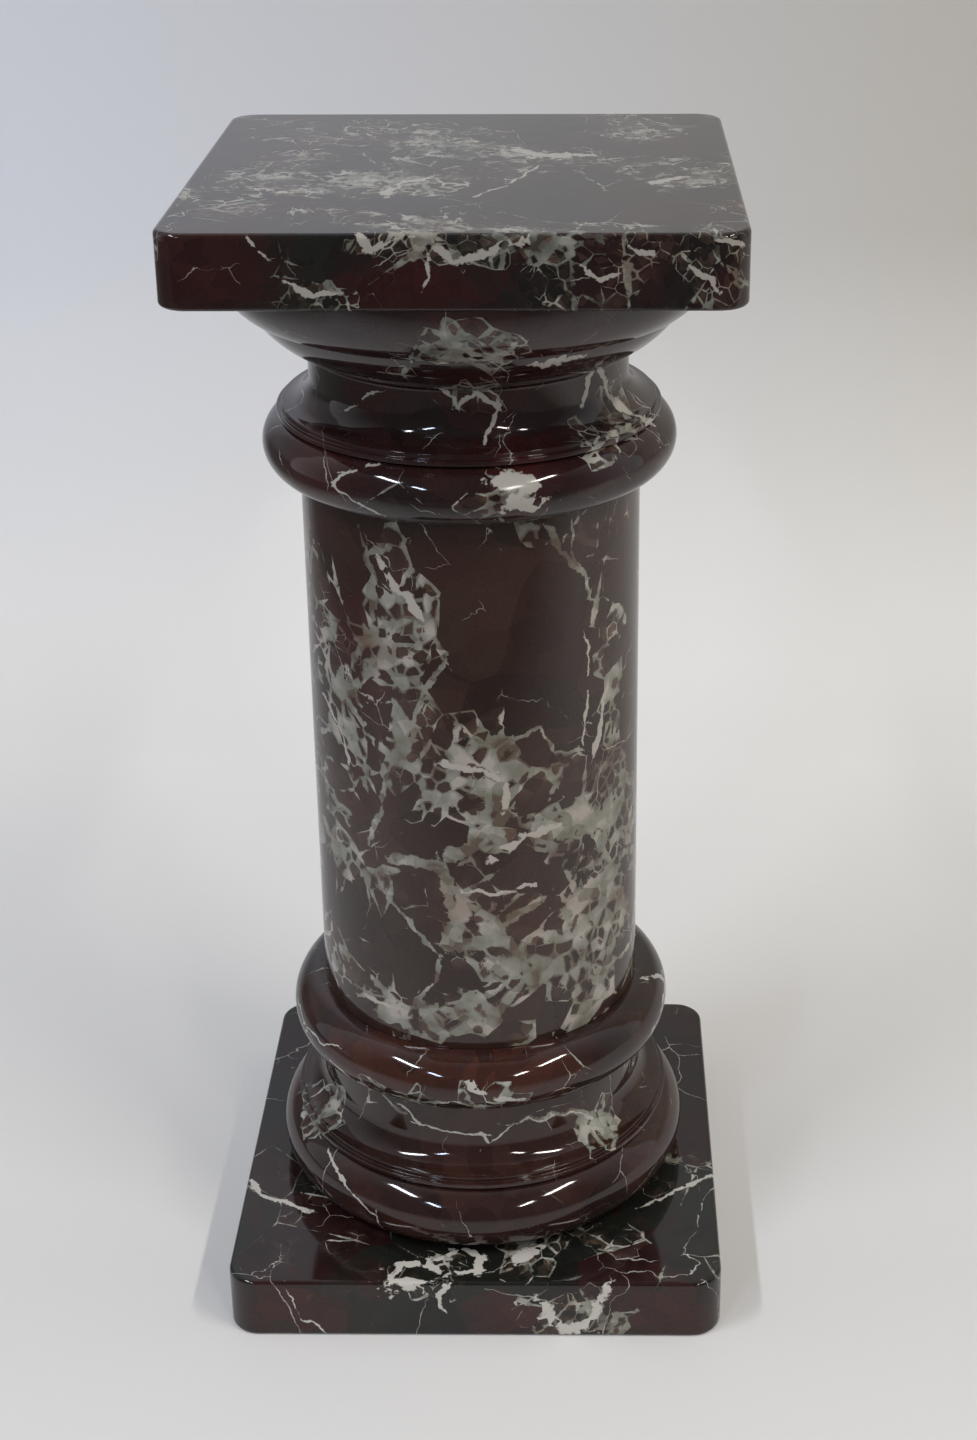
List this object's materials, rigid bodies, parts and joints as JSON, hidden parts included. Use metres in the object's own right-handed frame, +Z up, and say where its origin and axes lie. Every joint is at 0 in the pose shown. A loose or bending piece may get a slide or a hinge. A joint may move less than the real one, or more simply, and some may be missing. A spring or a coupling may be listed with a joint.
{
  "type": "short marble pedestal column",
  "caption": "Short round marble pedestal with a square plinth, ringed base, plain shaft, flared capital and square top slab for standing an ornament or vase on.",
  "frame": {"origin": "centre of the plinth's underside, on the floor", "axes": "+Z up along the shaft, X and Y square to the slabs' sides, -Y towards the viewer"},
  "size_m": [0.3, 0.3, 0.686],
  "materials": {
    "plinth_marble": "polished",
    "base_marble": "polished",
    "shaft_marble": "polished",
    "capital_marble": "polished",
    "top_marble": "polished"
  },
  "bodies": {
    "root": {"plinth_slab": "plinth_marble", "turned_base": "base_marble", "shaft": "shaft_marble", "turned_capital": "capital_marble", "top_slab": "top_marble"}
  },
  "joints": []
}
